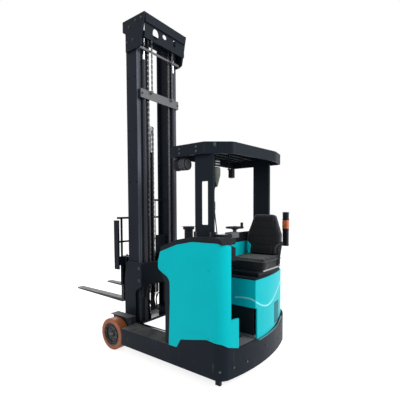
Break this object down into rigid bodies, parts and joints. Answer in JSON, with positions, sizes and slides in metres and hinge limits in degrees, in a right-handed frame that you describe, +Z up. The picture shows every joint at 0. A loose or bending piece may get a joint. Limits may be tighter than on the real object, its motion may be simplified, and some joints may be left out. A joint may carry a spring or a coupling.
{
  "type": "reach truck",
  "caption": "Seated reach truck: outrigger legs, sideways seat under an overhead guard, and a telescopic mast on a reach carriage with side-shifting, tilting forks.",
  "frame": {"origin": "on the floor, in the middle of the truck's length and width with the mast reached out and the forks as parked", "axes": "+Y towards the fork tips, +X towards the seat's side, +Z up"},
  "size_m": [1.27, 2.8299, 3.75],
  "materials": {
    "turquoise_paint": "semi-gloss turquoise powder coat, scuffed low down",
    "dark_paint": "satin blue-black enamel, worn on edges",
    "grey_paint": "satin mid-grey paint",
    "black_plastic": "fine-grained black moulded plastic",
    "grey_plastic": "fine-grained grey moulded plastic",
    "seat_fabric": "woven black seat cloth",
    "tread_brown": "brown polyurethane tread",
    "forged_steel": "forged steel, dark with scraped edges",
    "chrome": "polished hard chrome",
    "clear_window": "clear polycarbonate",
    "battery_steel": "acid-proof black coating"
  },
  "bodies": {
    "chassis": {"outrigger_legs": "dark_paint", "rear_bumper": "dark_paint", "floor_plate": "grey_paint", "front_frame": "dark_paint", "battery": "battery_steel", "battery_hood": "turquoise_paint", "side_panel_left": "turquoise_paint", "side_panel_right": "turquoise_paint", "console": "black_plastic", "dash": "black_plastic", "seat_box": "turquoise_paint", "entry_panel": "black_plastic", "seat_base": "black_plastic", "seat_cushion": "seat_fabric", "seat_back": "seat_fabric", "guard_post_left": "dark_paint", "guard_post_right": "dark_paint", "guard_roof": "dark_paint", "roof_window": "clear_window", "work_lamp": "black_plastic", "guard_fan": "black_plastic", "cabin_lamp": "black_plastic", "lamp_post": "black_plastic", "signal_lamp": "black_plastic", "lever_box": "black_plastic", "steering_column": "grey_plastic", "drive_motor": "forged_steel", "wheel_covers": "grey_paint", "reach_tube": "dark_paint"},
    "drive_unit": {"drive_unit": "forged_steel"},
    "drive_wheel": {"drive_tyre": "tread_brown", "drive_hub": "forged_steel"},
    "load_wheel_left": {"load_tyre_left": "tread_brown", "load_hub_left": "forged_steel"},
    "load_wheel_right": {"load_tyre_right": "tread_brown", "load_hub_right": "forged_steel"},
    "steering_wheel": {"steering_wheel": "black_plastic"},
    "reach_carriage": {"reach_carriage": "dark_paint", "reach_rod": "chrome", "mast_outer": "dark_paint", "mast_ties": "grey_paint", "mast_head": "dark_paint", "lift_tubes": "dark_paint"},
    "mast_mid": {"mast_mid": "dark_paint", "lift_rods": "chrome", "lift_chains": "forged_steel"},
    "mast_inner": {"mast_inner": "dark_paint", "free_lift_tube": "dark_paint"},
    "free_lift_rod": {"free_lift_rod": "chrome", "free_chains": "forged_steel"},
    "lift_carriage": {"lift_carriage": "dark_paint"},
    "side_shifter": {"side_shifter": "dark_paint"},
    "fork_carriage": {"fork_carriage": "dark_paint", "fork_left": "forged_steel", "fork_right": "forged_steel"}
  },
  "joints": [
    {"name": "steer", "type": "hinge", "parent": "chassis", "child": "drive_unit", "pos_m": [0.1, -1.085, 0.35], "axis": [0, 0, 1], "range_deg": [-90, 90]},
    {"name": "drive_spin", "type": "hinge", "parent": "drive_unit", "child": "drive_wheel", "pos_m": [0.1, -1.085, 0.1715], "axis": [1, 0, 0], "continuous": true},
    {"name": "load_spin_left", "type": "hinge", "parent": "chassis", "child": "load_wheel_left", "pos_m": [-0.57, 0.196, 0.175], "axis": [1, 0, 0], "continuous": true},
    {"name": "load_spin_right", "type": "hinge", "parent": "chassis", "child": "load_wheel_right", "pos_m": [0.57, 0.196, 0.175], "axis": [1, 0, 0], "continuous": true},
    {"name": "steering_wheel_spin", "type": "hinge", "parent": "chassis", "child": "steering_wheel", "pos_m": [-0.225, -1.19, 1.403], "axis": [0, 0, 1], "continuous": true},
    {"name": "reach", "type": "slide", "parent": "chassis", "child": "reach_carriage", "axis": [0, 1, 0], "range_m": [-0.58, 0]},
    {"name": "mast_lift", "type": "slide", "parent": "reach_carriage", "child": "mast_mid", "axis": [0, 0, 1], "range_m": [0, 2.75]},
    {"name": "mast_lift_inner", "type": "slide", "parent": "mast_mid", "child": "mast_inner", "axis": [0, 0, 1], "range_m": [0, 2.75]},
    {"name": "carriage_lift", "type": "slide", "parent": "mast_inner", "child": "lift_carriage", "axis": [0, 0, 1], "range_m": [-0.43, 2.16]},
    {"name": "free_lift", "type": "slide", "parent": "mast_inner", "child": "free_lift_rod", "axis": [0, 0, 1], "range_m": [-0.215, 1.08]},
    {"name": "side_shift", "type": "slide", "parent": "lift_carriage", "child": "side_shifter", "axis": [1, 0, 0], "range_m": [-0.075, 0.075]},
    {"name": "fork_tilt", "type": "hinge", "parent": "side_shifter", "child": "fork_carriage", "pos_m": [0, 0.3203, 0.96], "axis": [1, 0, 0], "range_deg": [-2, 4]}
  ],
  "couplings": [
    {"joint": "mast_lift_inner", "follows": "mast_lift", "ratio": 1},
    {"joint": "free_lift", "follows": "carriage_lift", "ratio": 0.5}
  ]
}
